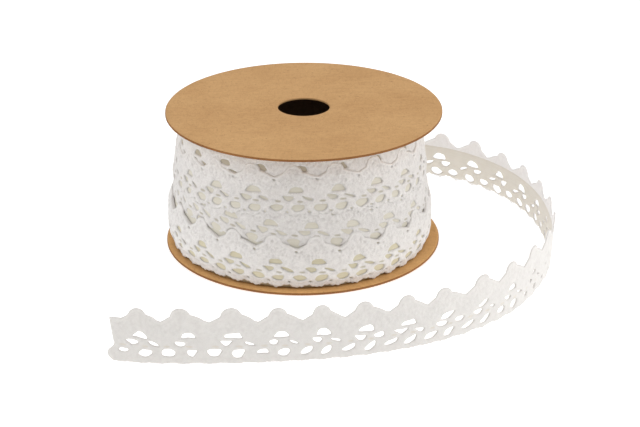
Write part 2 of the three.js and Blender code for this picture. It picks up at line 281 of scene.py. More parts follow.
# How far the pattern of the loose end is pulled along from even repeats.
LOOSE_PULL = [
    (0, 1.5), (6.8, 1.5), (19.6, 0.6), (32.4, 1.85), (45.1, 1.8), (57.9, 1), (70.6, 0.25), (83.3, 0.1),
    (96.1, -1.2), (108.8, -0.3), (121.6, -0.7), (140, 0), (300, 0),
]
# How wide the gaps are at each repeat of the loose end.
LOOSE_SIZES = [
    (0, 1), (8, 1), (9, 0.92), (10, 0.5), (11, 0.2), (12, 0.35), (13, 0.7), (14, 0.9), (15, 1), (23, 1),
]
# How far the loose end stands in front of its route.
LOOSE_FORWARD = [(-3, 2.4), (3, 1.9), (10, 1.5), (30, 1.25), (110, 1.25), (165, 0), (300, 0)]
# The pattern's grid starts at this place, and ends this far after the cloth.
LOOSE_START, LOOSE_AFTER = -2.6, 0.3
LOOSE_THICK = 0.6
LOOSE_DENT = 0.08
LOOSE_RELIEF = 0.6
# The loose end's line and cloth run on under the start of the outer turn, below that turn's face.
SEAT_GAP = 0.3
TUCK, TUCKED = 0.8, 0.6
START_DEPTH = 0.36
STRAIGHT_START = 2.4
# Where the loose end comes down to the table, counted from the roll.
SETTLES = (22, 38)
# Its bend leans outwards at the top.
LEAN_AT, LEAN_REACH, LEAN_MOST, LEAN_HEIGHT = 160, 40, 0.7, 13.5
# The film on its inner face ends inside the cloth's edges, and its own edges sink in.
FILM_TOP = 11.6
LOOSE_FILM_LOW = 0.8
FILM_INSET, FILM_END_INSET = 0.12, 0.3
FILM_RISE, FILM_SINK, FILM_SINK_OVER = 0.04, 0.2, 0.6
FILM_FRONT, FILM_BACK = -0.02, 0.06

# Grid steps, how round the yarns are at an edge, and how near grid points an edge may cross.
ROLL_STEP = 0.25
TAIL_STEP = 0.3
YARN_ROUND = 0.55
EDGE_KEEP = 0.06
# Rows that a long strip's UVs are cut into, and the margins round them.
TURN_UV_ROWS, LOOSE_UV_ROWS = 5, 4
UV_SIDE, UV_ROW_MARGIN, UV_OVER = 0.004, 0.02, 0.003

# Studio: each light's name, its place from the spool in metres, its width and its power.
LIGHTS = [
    ("left", (-0.85, -0.2, 0.7), 0.7, 3.8),
    ("right", (0.94, -0.12, 0.55), 0.7, 5.2),
    ("top", (0.0, 0.1, 1.1), 0.8, 1.15),
    ("front", (0.0, -0.7, 1.0), 0.8, 1.6),
]
LIGHTS_AIM = (0, 0, 0.02)
SKY_LIGHT = 0.44
TABLE_HALF, TABLE_DROP = 3.0, 0.0002
TABLE_WHITE, TABLE_GLOW = (0.82, 0.82, 0.82, 1), 0.5
WHITE = (1, 1, 1, 1)


def make_camera():
    camera = bpy.data.objects.new("camera", bpy.data.cameras.new("camera"))
    bpy.context.scene.collection.objects.link(camera)
    camera.data.lens = CAMERA_LENS
    camera.data.sensor_width = 36
    pitch = math.radians(CAMERA_PITCH)
    forward = Vector((0, math.cos(pitch), -math.sin(pitch)))
    right = Vector((1, 0, 0))
    up = right.cross(forward)
    turned = right * math.cos(CAMERA_ROLL) + up * math.sin(CAMERA_ROLL)
    turned_up = turned.cross(forward)
    rotation = Matrix((turned, turned_up, -forward)).transposed().to_4x4()
    camera.matrix_world = Matrix.Translation(AXIS + Vector(CAMERA_AT) * MM) @ rotation
    bpy.context.scene.camera = camera


make_camera()


def unevenness(repeat, feature):
    wave = math.sin(repeat * 12.9898 + feature * 78.233) * 43758.5453
    return wave - math.floor(wave) - 0.5


def along(table, place):
    """The smooth value of a table of (key, value) rows at each place."""
    keys = np.array([row[0] for row in table], float)
    values = np.array([row[1] for row in table], float)
    last = len(keys) - 1
    place = np.clip(np.asarray(place, float), keys[0], keys[-1])
    i = np.clip(np.searchsorted(keys, place, side="right") - 1, 0, last - 1)
    before = np.maximum(i - 1, 0)
    after = np.minimum(i + 2, last)
    slope_in = (values[i + 1] - values[before]) / (keys[i + 1] - keys[before])
    slope_out = (values[after] - values[i]) / (keys[after] - keys[i])
    span = keys[i + 1] - keys[i]
    t = (place - keys[i]) / span
    start = values[i] + slope_in * span * t * (1 - t) ** 2
    rise = (values[i + 1] - values[i]) * t * t * (3 - 2 * t)
    return start + rise - slope_out * span * t * t * (1 - t)


def smoothstep(x, low, high):
    t = np.clip((x - low) / (high - low), 0, 1)
    return t * t * (3 - 2 * t)


# Lace pattern as a signed distance on a grid, positive in the cloth.
def smooth_loop(points, steps=5):
    p = np.array(points, float)
    a, b, c, d = np.roll(p, 1, 0), p, np.roll(p, -1, 0), np.roll(p, -2, 0)
    square = 2 * a - 5 * b + 4 * c - d
    cube = 3 * b - a - 3 * c + d
    rows = [0.5 * (2 * b + (c - a) * t + square * t**2 + cube * t**3) for t in np.arange(steps) / steps]
    return np.stack(rows, 1).reshape(-1, 2)


def gap_loop(gap, repeat, size, number=None):
    """The outline of one gap. A gap with a number also changes its place and size from repeat to repeat."""
    form, at, height, wide, tall = gap
    wide *= size
    tall *= HEIGHT_KEPT + (1 - HEIGHT_KEPT) * size
    if number is not None:
        at += SHIFT * unevenness(repeat, number + SALTS["across"])
        height += SHIFT * unevenness(repeat, number + SALTS["up"])
        wide *= 1 + SIZE * unevenness(repeat, number + SALTS["wide"])
        tall *= 1 + SIZE * unevenness(repeat, number + SALTS["high"])
    salt = 10 * (number or 0) + SALTS["form"]
    points = []
    for k, (x, y) in enumerate(FORMS[form]):
        x = x / 100 + CORNER_ACROSS * unevenness(repeat, salt + k)
        y = y / 100 + CORNER_UP * unevenness(repeat, salt + k + SALTS["form"])
        points.append((at + x * wide, height + y * tall))
    return smooth_loop(points)


def scallop_line(repeat, scallop):
    """The top edge of one repeat: seam, valley, foot of the dome, dome, and the fall to the next seam."""
    chance = [unevenness(repeat, SALTS["scallop"] + k) for k in range(6)]
    middle_x = scallop["middle"][0] + SCALLOP_ACROSS * chance[0]
    middle_y = scallop["middle"][1] + DOME_UP * chance[1]
    radius = scallop["radius"] + DOME_SIZE * chance[2]
    arc = np.radians(np.linspace(*scallop["arc"], 15))
    dome = np.stack([middle_x + radius * np.cos(arc), middle_y + radius * np.sin(arc)], 1)
    end = dome[-1]
    bulge = np.array(scallop["bulge"]) + SCALLOP_ACROSS * chance[3]
    seam = np.array((REPEAT, scallop["seam"]))
    t = np.linspace(0, 1, 9)[1:-1, None]
    fall = end * (1 - t) ** 2 + 2 * bulge * t * (1 - t) + seam * t**2
    foot = (scallop["foot"][0] + SCALLOP_ACROSS * chance[0], scallop["foot"][1] + DOME_FOOT_UP * chance[4])
    valley = (scallop["valley"][0] + SCALLOP_ACROSS * chance[5], scallop["valley"][1])
    line = np.concatenate([[(0.0, scallop["seam"]), valley, foot], dome, fall])
    return line + np.array([repeat * REPEAT, 0])


def picot_height(x, rough, drop):
    """The height of the lower edge at each place along the lace."""
    picot = 0.5 + 0.5 * np.cos(2 * math.pi * (x - PICOTS_AT) / PICOT_STEP)
    bead = np.abs(np.sin(math.pi * (x - PICOTS_AT) / BEAD_STEP + 0.4 * np.sin(x * 0.37) + math.pi / 2))
    wander = 0.07 * np.sin(x * 0.83 + 1.3) + 0.05 * np.sin(x * 2.17)
    shape = PICOT_RISE * (1 - picot) + BEAD_RISE * (1 - bead) + wander
    return np.maximum(along(rough, x) * shape, PICOT_LOWEST) + PICOT_LIFT - along(drop, x)


def distance_to_line(px, py, line, closed=False):
    start = line if closed else line[:-1]
    step = (np.roll(line, -1, 0) if closed else line[1:]) - start
    qx = px[:, None] - start[:, 0]
    qy = py[:, None] - start[:, 1]
    t = np.clip((qx * step[:, 0] + qy * step[:, 1]) / np.maximum((step**2).sum(1), 1e-12), 0, 1)
    return np.sqrt(((qx - t * step[:, 0]) ** 2 + (qy - t * step[:, 1]) ** 2).min(1))


def inside_loop(px, py, loop):
    after = np.roll(loop, -1, 0)
    crosses = (loop[:, 1] > py[:, None]) != (after[:, 1] > py[:, None])
    rise = after[:, 1] - loop[:, 1]
    rise = np.where(np.abs(rise) < 1e-9, 1e-9, rise)
    at = loop[:, 0] + (after[:, 0] - loop[:, 0]) * (py[:, None] - loop[:, 1]) / rise
    return (crosses & (px[:, None] < at)).sum(1) % 2 == 1


def window(xs, vs, x0, x1, v0, v1):
    """The part of the grid in a box, as slices and as the places and heights of its points."""
    i0, i1 = np.searchsorted(xs, [x0, x1])
    j0, j1 = np.searchsorted(vs, [v0, v1])
    return (slice(i0, i1), slice(j0, j1)), np.repeat(xs[i0:i1], j1 - j0), np.tile(vs[j0:j1], i1 - i0)


def repeats_over(xs):
    return range(math.floor(xs[0] / REPEAT) - 1, math.ceil(xs[-1] / REPEAT) + 2)


def repeat_windows(xs, vs, v0, v1):
    for i in repeats_over(xs):
        area, px, py = window(xs, vs, i * REPEAT, (i + 1) * REPEAT, v0, v1)
        if len(px):
            yield i, area, px, py


def lower_to(field, area, positive, away):
    """Lower the field in one window to a distance with its sign."""
    found = np.where(positive, away, -away).reshape(field[area].shape)
    field[area] = np.minimum(field[area], found)


def scallop_distance(xs, vs, scallop):
    field = np.full((len(xs), len(vs)), np.inf)
    for i, area, px, py in repeat_windows(xs, vs, SCALLOPS_FROM, GRID_HIGH + 1):
        before, after = scallop_line(i - 1, scallop)[-8:], scallop_line(i + 1, scallop)[:5]
        line = np.concatenate([before, scallop_line(i, scallop), after])
        lower_to(field, area, py < np.interp(px, line[:, 0], line[:, 1]), distance_to_line(px, py, line))
    return np.where(np.isinf(field), FAR_INSIDE, field)


def foot_distance(xs, vs, rough, drop):
    field = np.full((len(xs), len(vs)), np.inf)
    foot_x = np.arange(xs[0] - 2, xs[-1] + 2, FOOT_SAMPLE)
    foot = np.stack([foot_x, picot_height(foot_x, rough, drop)], 1)
    for i, area, px, py in repeat_windows(xs, vs, GRID_LOW - 1, FOOT_TO):
        near = (foot_x > i * REPEAT - 2) & (foot_x < (i + 1) * REPEAT + 2)
        lower_to(field, area, py > picot_height(px, rough, drop), distance_to_line(px, py, foot[near]))
    return field


def gap_distances(xs, vs, lace, size_at):
    """Distances outside the open gaps and outside the thin places."""
    opened = np.full((len(xs), len(vs)), np.inf)
    thin = np.full((len(xs), len(vs)), FAR_INSIDE)
    usual = list(enumerate(lace["gaps"]))
    slots = [(number, gap) for number, gap in usual if gap[0] == "slot"]
    for i in repeats_over(xs):
        known = [(None, gap) for gap in lace["first_gaps"].get(i, [])]
        for number, gap in known + slots if known else usual:
            loop = gap_loop(gap, lace["sign"] * i, size_at(i), number) + np.array([i * REPEAT, 0])
            x0, v0 = loop.min(0) - GAP_REACH
            x1, v1 = loop.max(0) + GAP_REACH
            area, px, py = window(xs, vs, x0, x1, v0, v1)
            if len(px):
                field = thin if gap[0] == "slot" else opened
                away = distance_to_line(px, py, loop, closed=True)
                lower_to(field, area, ~inside_loop(px, py, loop), away)
    return opened, thin


def lace_distance(xs, vs, lace, drop, size_at):
    """Signed distances on the grid: to all edges, to the scallops alone, and to the thin places."""
    top = scallop_distance(xs, vs, lace["scallop"])
    foot = foot_distance(xs, vs, lace["rough"], drop)
    opened, thin = gap_distances(xs, vs, lace, size_at)
    return np.minimum(np.minimum(top, foot), opened), top, thin


def blurred_noise(shape, seed, passes):
    noise = np.random.RandomState(seed).standard_normal(shape)
    for _ in range(passes):
        for axis in (0, 1):
            noise = 0.5 * noise + 0.25 * (np.roll(noise, 1, axis) + np.roll(noise, -1, axis))
    return noise / noise.std()


def weave_height(xs, vs, top, seed, strength=1.0):
    """How far each point of the cloth's face stands out of its plain thickness, in millimetres."""
    grid_x, grid_v = np.meshgrid(xs, vs, indexing="ij")
    local = np.mod(grid_x, REPEAT)
    wobble = blurred_noise(top.shape, seed + 1, 6)
    # Fan stitches spread from under the fan gap, and lie in rows round it.
    across = np.arctan2(local - FAN_AT, np.maximum(grid_v - FAN_HEIGHT, 0.5))
    out = np.hypot(local - FAN_AT, grid_v - FAN_HEIGHT)
    ribs = np.cos(across * FAN_RIBS + 0.8 * wobble)
    rows = np.cos(out * 2 * math.pi / FAN_ROW + math.pi * (np.floor(across * FAN_RIBS / math.pi) % 2))
    dense = smoothstep(grid_v, 7.4, 9.2) + smoothstep(grid_v, 1.4, 0.6) * 0.3
    grain = blurred_noise(top.shape, seed, 1)
    clumps = blurred_noise(top.shape, seed + 2, 4)
    fabric = 0.02 * ribs + 0.025 * rows * np.maximum(ribs, 0) + 0.04 * grain + 0.024 * clumps
    yarn = 0.022 * grain + 0.02 * clumps
    height = strength * (dense * fabric + (1 - dense) * yarn)
    # A corded edge follows the scallops.
    cord = smoothstep(top, *CORD_INNER) * smoothstep(top, *CORD_OUTER)
    groove = np.exp(-(((top - GROOVE_AT) / GROOVE_WIDE) ** 2))
    return height * (1 - CORD_SMOOTH * cord) + strength * (CORD_RISE * cord - CORD_RISE * groove)


def thin_share(thin):
    """One in the middle of a thin place of the cloth, falling to nothing at its rim."""
    return smoothstep(-thin, -0.3, 0.12)


def edge_round(distance):
    t = np.clip(distance / YARN_ROUND, 0, 1)
    return np.sqrt(1 - (1 - t) ** 2)


def painted_shade_tone(raised, rounded):
    """Painted shade: the value that the cotton's colour follows, low, and so darker, in hollows and at edges.
    """
    return (0.5 + 2.2 * raised) * (0.4 + 0.6 * rounded)


# Polygons of the part of a grid where the field is positive.
def contour_polygons(distance, keep=None):
    """Polygons by size, and which of their vertices lie on the cloth's edge.

    Each vertex is the number of a grid point, or of a grid line that leaves the cloth.
    """
    nx, nv = distance.shape
    inside = distance > 0
    corner = np.arange(nx * nv).reshape(nx, nv)
    flat_edge = nx * nv + np.arange((nx - 1) * nv).reshape(nx - 1, nv)
    tall_edge = nx * nv + (nx - 1) * nv + np.arange(nx * (nv - 1)).reshape(nx, nv - 1)
    slots = np.stack(
        [
            corner[:-1, :-1], flat_edge[:, :-1], corner[1:, :-1], tall_edge[1:, :],
            corner[1:, 1:], flat_edge[:, 1:], corner[:-1, 1:], tall_edge[:-1, :],
        ],
        -1,
    ).reshape(-1, 8)
    c0, c1, c2, c3 = inside[:-1, :-1], inside[1:, :-1], inside[1:, 1:], inside[:-1, 1:]
    valid = np.stack([c0, c0 != c1, c1, c1 != c2, c2, c2 != c3, c3, c3 != c0], -1).reshape(-1, 8)
    used = valid.any(1)
    if keep is not None:
        used &= keep.ravel()
    slots, valid = slots[used], valid[used]
    order = np.argsort(~valid, axis=1, kind="stable")
    ids = np.take_along_axis(slots, order, 1)
    counts = valid.sum(1)
    polygons = []
    for n in range(3, 7):
        rows = counts == n
        polygons.append((ids[rows][:, :n], order[rows][:, :n] % 2 == 1))
    return polygons


def slot_values(distance, fields, ids):
    """The value of each field at each vertex slot, worked out where the field crosses zero."""
    nx, nv = distance.shape
    n_corner, n_flat = nx * nv, (nx - 1) * nv
    flat_id = ids - n_corner
    tall_id = flat_id - n_flat
    kinds = [flat_id < 0, tall_id < 0]
    first = np.select(kinds, [ids, flat_id], tall_id + tall_id // (nv - 1))
    second = first + np.select(kinds, [0, nv], 1)
    is_corner = kinds[0]
    flat = distance.ravel()
    a, b = flat[first], flat[second]
    gap = np.where(is_corner, 1, a - b)
    t = np.where(is_corner, 0, np.clip(a / np.where(gap == 0, 1, gap), EDGE_KEEP, 1 - EDGE_KEEP))
    values = [field.ravel()[first] * (1 - t) + field.ravel()[second] * t for field in fields]
    return values, ~is_corner


def numbered(polygons):
    """The vertex slots that the polygons use, and the number of each in that list."""
    used = np.unique(np.concatenate([ids.ravel() for ids, _ in polygons]))
    index = np.zeros(used.max() + 1, int)
    index[used] = np.arange(len(used))
    return used, index


def rim_pairs(polygons, index):
    """The two vertices of each polygon side that lies on the edge of the cloth."""
    a, b = [], []
    for ids, edge in polygons:
        n = ids.shape[1]
        for k in range(n):
            rim = edge[:, k] & edge[:, (k + 1) % n]
            a.append(index[ids[rim, k]])
            b.append(index[ids[rim, (k + 1) % n]])
    return np.concatenate(a), np.concatenate(b)


def mesh_object(name, points, polygons, attributes, uv, materials, index=None):
    """An object from points in metres and arrays of polygons, with their UVs and material numbers."""
    mesh = bpy.data.meshes.new(name)
    mesh.vertices.add(len(points))
    mesh.vertices.foreach_set("co", np.asarray(points, np.float32).ravel())
    loops = np.concatenate([p.ravel() for p in polygons])
    sizes = np.concatenate([np.full(len(p), p.shape[1]) for p in polygons])
    starts = np.concatenate([[0], np.cumsum(sizes)[:-1]])
    mesh.loops.add(len(loops))
    mesh.loops.foreach_set("vertex_index", loops.astype(np.int32))
    mesh.polygons.add(len(sizes))
    mesh.polygons.foreach_set("loop_start", starts.astype(np.int32))
    mesh.polygons.foreach_set("use_smooth", np.ones(len(sizes), bool))
    mesh.update(calc_edges=True)
    for key, values in attributes.items():
        kind = "FLOAT_VECTOR" if values.ndim == 2 else "FLOAT"
        layer = mesh.attributes.new(key, kind, "POINT")
        layer.data.foreach_set("vector" if values.ndim == 2 else "value", values.astype(np.float32).ravel())
    if uv is not None:
        layer = mesh.uv_layers.new(name="OFBake")
        corners = np.concatenate([u.reshape(-1, 2) for u in uv])
        layer.data.foreach_set("uv", corners.astype(np.float32).ravel())
    for material in materials:
        mesh.materials.append(material)
    if index is not None:
        mesh.polygons.foreach_set("material_index", np.asarray(index, np.int32))
    obj = bpy.data.objects.new(name, mesh)
    bpy.context.scene.collection.objects.link(obj)
    return obj


def strip_uv(polygons, x, v, start, end, rows, part=0, parts=1):
    """UVs of a long strip cut into rows, one above the other, in one part of the square."""
    found = []
    length = (end - start) / rows
    for p in polygons:
        middle = x[p].mean(1)
        row = np.clip(((middle - start) / length).astype(int), 0, rows - 1)[:, None]
        across = (x[p] - start - row * length) / length
        up = (v[p] - GRID_LOW) / (GRID_HIGH - GRID_LOW)
        u_place = UV_SIDE + (1 - 2 * UV_SIDE) * np.clip(across, -UV_OVER, 1 + UV_OVER)
        v_in_row = UV_ROW_MARGIN + (1 - 2 * UV_ROW_MARGIN) * np.clip(up, 0, 1)
        v_place = (part * rows + row + v_in_row) / (rows * parts)
        found.append(np.stack([u_place, v_place], -1))
    return found


def to_metres(x, y, z):
    return np.stack([AXIS.x + x * MM, AXIS.y + y * MM, AXIS.z + z * MM], 1)


# Places on the roll and along the loose end.
def on_roll(length, height, depth, foot_table, out_table):
    """A point on the wound lace. Length is along the turns and depth is below the outer face."""
    angle = np.degrees(length / WINDING_RADIUS)
    z = along(foot_table, angle) + height
    radius = along(PROFILE, z) + along(out_table, angle) - depth
    heading = np.radians(LEAVING_ANGLE + angle)
    return to_metres(WINDING_SHIFT + radius * np.cos(heading), radius * np.sin(heading), z)


def tail_line():
    """The loose end's line as points with their arc length, by a centripetal Catmull-Rom curve."""
    radius = float(along(PROFILE, OUTER_FOOT[0][1])) + OUTER_OUT[0][1] - START_DEPTH

    def meet(back):
        heading = math.radians(LEAVING_ANGLE - math.degrees(back / WINDING_RADIUS))
        return (WINDING_SHIFT + radius * math.cos(heading), radius * math.sin(heading))

    p = np.array(TAIL_ROUTE + [meet(STRAIGHT_START), meet(0), meet(-TUCK)], float)
    p = np.concatenate([[2 * p[0] - p[1]], p, [2 * p[-1] - p[-2]]])
    rows = []
    t = np.linspace(0, 1, 60, endpoint=False)[:, None]
    for k in range(len(p) - 3):
        p0, p1, p2, p3 = p[k : k + 4]
        d0, d1, d2 = [math.sqrt(np.linalg.norm(b - a)) for a, b in ((p0, p1), (p1, p2), (p2, p3))]
        m1 = ((p1 - p0) / d0 - (p2 - p0) / (d0 + d1) + (p2 - p1) / d1) * d1
        m2 = ((p2 - p1) / d1 - (p3 - p1) / (d1 + d2) + (p3 - p2) / d2) * d1
        square = -3 * p1 + 3 * p2 - 2 * m1 - m2
        cube = 2 * p1 - 2 * p2 + m1 + m2
        rows.append(p1 + m1 * t + square * t**2 + cube * t**3)
    line = np.concatenate(rows + [p[-2][None]])
    length = np.concatenate([[0], np.cumsum(np.linalg.norm(np.diff(line, axis=0), axis=1))])
    return line, length


TAIL_LINE, TAIL_LENGTH = tail_line()
TAIL_HEADING = np.gradient(TAIL_LINE, TAIL_LENGTH, axis=0)
TAIL_HEADING /= np.linalg.norm(TAIL_HEADING, axis=1)[:, None]


def on_tail(length, height, depth):
    """A point of the loose end. Depth is counted inwards from the middle of its thickness."""
    from_roll = TAIL_REPEATS * REPEAT - length + SEAT_GAP + TUCK
    place = np.clip(TAIL_LENGTH[-1] - from_roll, 0, TAIL_LENGTH[-1])
    x = np.interp(place, TAIL_LENGTH, TAIL_LINE[:, 0])
    y = np.interp(place, TAIL_LENGTH, TAIL_LINE[:, 1])
    hx = np.interp(place, TAIL_LENGTH, TAIL_HEADING[:, 0])
    hy = np.interp(place, TAIL_LENGTH, TAIL_HEADING[:, 1])
    foot = (1 - smoothstep(from_roll, *SETTLES)) * OUTER_FOOT[0][1] + along(LOOSE_DROP, length)
    away = smoothstep(np.abs(length - LEAN_AT), 0, LEAN_REACH)
    out = LEAN_MOST * (1 - away) * height / LEAN_HEIGHT - depth
    return to_metres(x + out * hy, y - out * hx - along(LOOSE_FORWARD, length), foot + height)


# Materials.
def new_material(name):
    material = bpy.data.materials.new(name)
    material.use_nodes = True
    tree = material.node_tree
    return material, tree, tree.nodes["Principled BSDF"]


def srgb(r, g, b):
    def linear(c):
        c /= 255
        return c / 12.92 if c <= 0.04045 else ((c + 0.055) / 1.055) ** 2.4

    return (linear(r), linear(g), linear(b), 1)


def node(tree, kind, **settings):
    made = tree.nodes.new(kind)
    for key, value in settings.items():
        setattr(made, key, value)
    return made


def set_inputs(shader, values):
    for name, value in values.items():
        shader.inputs[name].default_value = value


def noise(tree, vector, scale, detail=2, roughness=0.5, distortion=0):
    made = node(tree, "ShaderNodeTexNoise")
    values = {"Scale": scale, "Detail": detail, "Roughness": roughness, "Distortion": distortion}
    set_inputs(made, values)
    tree.links.new(vector, made.inputs["Vector"])
    return made.outputs["Fac"]


def attribute(tree, name, output="Fac"):
    return node(tree, "ShaderNodeAttribute", attribute_name=name).outputs[output]


def ramp(tree, value, stops):
    made = node(tree, "ShaderNodeValToRGB")
    elements = made.color_ramp.elements
    while len(elements) < len(stops):
        elements.new(0.5)
    for element, (place, color) in zip(elements, stops):
        element.position = place
        element.color = color
    tree.links.new(value, made.inputs["Fac"])
    return made.outputs["Color"]


def mix(tree, factor, a, b, blend="MIX"):
    made = node(tree, "ShaderNodeMix", data_type="RGBA", blend_type=blend)
    for name, value in (("Factor", factor), ("A", a), ("B", b)):
        target = [socket for socket in made.inputs if socket.name == name and socket.enabled][0]
        if isinstance(value, bpy.types.NodeSocket):
            tree.links.new(value, target)
        else:
            target.default_value = value
    return [socket for socket in made.outputs if socket.enabled][0]


def scaled(tree, vector, scale):
    made = node(tree, "ShaderNodeMapping")
    set_inputs(made, {"Scale": scale})
    tree.links.new(vector, made.inputs["Vector"])
    return made.outputs["Vector"]


def bump(tree, shader, height, strength, distance):
    made = node(tree, "ShaderNodeBump")
    set_inputs(made, {"Strength": strength, "Distance": distance})
    tree.links.new(height, made.inputs["Height"])
    tree.links.new(made.outputs["Normal"], shader.inputs["Normal"])


def cotton_material(name, light, shade, film, mottle=0.6, fuzz_bump=0.6):
    material, tree, shader = new_material(name)
    pattern = attribute(tree, "pattern", "Vector")
    fuzz = noise(tree, pattern, 2.6, 3, 0.65, 0.4)
    specks = noise(tree, pattern, 3.0, 3, 0.8)
    # Painted shade: the colour runs from the shade colour in hollows, at edges and on walls to the light
    # colour on raised cloth.
    base = ramp(tree, attribute(tree, "painted_relief_shade"), [(0.15, shade), (0.6, light)])
    mottle_stops = [(0.3, (0.74, 0.72, 0.71, 1)), (0.46, (0.97, 0.965, 0.96, 1)), (0.6, WHITE)]
    mottled = ramp(tree, specks, mottle_stops)
    color = mix(tree, mottle, base, mottled, "MULTIPLY")
    color = mix(tree, attribute(tree, "bare"), color, film)
    tree.links.new(color, shader.inputs["Base Color"])
    set_inputs(shader, {
        "Roughness": 0.93, "Specular IOR Level": 0.2, "Sheen Weight": 0.18, "Sheen Roughness": 0.6,
        "Subsurface Weight": 0.3, "Subsurface Radius": (1, 1, 1), "Subsurface Scale": 0.0006,
    })
    bump(tree, shader, fuzz, fuzz_bump, 0.0005)
    return material


def film_material(name, light, shade):
    material, tree, shader = new_material(name)
    pattern = attribute(tree, "pattern", "Vector")
    streaks = noise(tree, scaled(tree, pattern, (0.05, 1.2, 1)), 2.2, 2, 0.5)
    clouds = noise(tree, pattern, 0.35, 2, 0.5)
    streaked = ramp(tree, streaks, [(0.35, shade), (0.65, light)])
    clouded = ramp(tree, clouds, [(0.3, shade), (0.7, light)])
    color = mix(tree, 0.5, streaked, clouded)
    tree.links.new(color, shader.inputs["Base Color"])
    set_inputs(shader, {"Roughness": 0.55, "Specular IOR Level": 0.35})
    bump(tree, shader, streaks, 0.2, 0.0002)
    return material


def card_material(name, light, middle, dark):
    material, tree, shader = new_material(name)
    place = node(tree, "ShaderNodeTexCoord").outputs["Object"]
    clouds = noise(tree, place, 60, 3, 0.55)
    fibres = noise(tree, scaled(tree, place, (1, 0.35, 1)), 1500, 3, 0.7, 1.2)
    cross = noise(tree, scaled(tree, place, (0.3, 1, 1)), 1100, 3, 0.7, 0.8)
    specks = noise(tree, place, 900, 2, 0.6)
    base = ramp(tree, clouds, [(0.25, middle), (0.75, light)])
    threads = ramp(tree, fibres, [(0.3, (0.72, 0.66, 0.58, 1)), (0.55, WHITE)])
    cross_stops = [(0.32, (0.8, 0.76, 0.7, 1)), (0.55, WHITE), (0.75, (1.1, 1.1, 1.08, 1))]
    cross_threads = ramp(tree, cross, cross_stops)
    color = mix(tree, 0.45, base, threads, "MULTIPLY")
    color = mix(tree, 0.45, color, cross_threads, "MULTIPLY")
    flecks = ramp(tree, specks, [(0.66, (0, 0, 0, 1)), (0.74, WHITE)])
    dark_flecks = mix(tree, flecks, color, dark)
    color = mix(tree, 0.5, color, dark_flecks)
    tree.links.new(color, shader.inputs["Base Color"])
    set_inputs(shader, {"Roughness": 0.8, "Specular IOR Level": 0.3})
    bump(tree, shader, fibres, 0.25, 0.0002)
    return material


COTTON = cotton_material("cotton", srgb(232, 229, 226), srgb(209, 205, 202), srgb(192, 184, 164))
# A darker copy of the cotton, with more mottling, for the high, top and middle turns: painted shade of the
# upper card.
COTTON_SHADED = cotton_material(
    "cotton_painted_shade", srgb(229, 226, 223), srgb(206, 202, 199), srgb(188, 180, 162), mottle=0.75
)
TAIL_COTTON = cotton_material(
    "cotton_loose", srgb(226, 223, 219), srgb(211, 207, 203), srgb(218, 211, 199), 0.32, fuzz_bump=0.3
)
# A brighter copy of the loose end's cotton for its inner face: painted light where little lamp light reaches
# it.
TAIL_INNER_PAINTED_LIGHT = cotton_material(
    "cotton_loose_inner_painted_light", srgb(254, 252, 251), srgb(242, 239, 237), srgb(222, 214, 198), 0.2, fuzz_bump=0.25
)
FILM = film_material("film", srgb(216, 211, 198), srgb(209, 203, 187))
# A darker copy of the film for the top turn: painted shade under the upper card.
FILM_PAINTED_SHADE = film_material("film_painted_shade", srgb(180, 170, 151), srgb(170, 160, 141))
# A yellower copy of the film for the low turn: painted warm light bounced from the kraft of the lower card.
FILM_PAINTED_BOUNCE = film_material("film_low_painted_bounce", srgb(212, 205, 180), srgb(205, 196, 168))
TAIL_FILM = film_material("film_loose", srgb(236, 232, 223), srgb(231, 225, 214))
KRAFT = card_material("kraft", srgb(208, 165, 114), srgb(196, 152, 102), srgb(120, 84, 46))
# A more orange copy of the kraft for the lower card: painted warm light bounced between the kraft faces in
# its shade.
KRAFT_PAINTED_BOUNCE = card_material("kraft_low_painted_bounce", srgb(216, 169, 110), srgb(204, 155, 98), srgb(126, 84, 40))
KRAFT_EDGE = card_material("kraft_edge", srgb(152, 104, 58), srgb(132, 86, 46), srgb(70, 44, 22))
# Card far darker than the kraft, for the core tube: painted shade inside the tube.
TUBE_CARD_PAINTED_SHADE = card_material("tube_card", srgb(112, 88, 68), srgb(96, 74, 56), srgb(40, 28, 20))
DRUM = film_material("film_deep", srgb(190, 182, 156), srgb(168, 158, 130))


# Card flanges with a rounded rim.
def lathe_object(name, profile, shifts, segments, materials, face_materials=None, wobble=0.0):
    """A closed ring from a closed profile of (radius, height) points, each moved by its shift."""
    profile, shifts = np.array(profile, float), np.array(shifts, float)
    angles = np.arange(segments) * 2 * math.pi / segments
    n = len(profile)
    waves = np.sin(angles * 3 + 0.7) + 0.6 * np.sin(angles * 7 + 2.1) + 0.5 * np.sin(angles * 23)
    grow = 1 + wobble * waves
    radius = profile[None, :, 0] * grow[:, None]
    x = radius * np.cos(angles)[:, None] + shifts[:, 0]
    y = radius * np.sin(angles)[:, None] + shifts[:, 1]
    z = np.repeat(profile[None, :, 1], segments, 0)
    ids = np.arange(segments * n).reshape(segments, n)
    after = np.roll(ids, -1, 0)
    quads = np.stack([ids, after, np.roll(after, -1, 1), np.roll(ids, -1, 1)], -1).reshape(-1, 4)
    points = to_metres(x.ravel(), y.ravel(), z.ravel())
    index = None if face_materials is None else np.tile(face_materials, segments)
    return mesh_object(name, points, [quads], {}, None, materials, index)


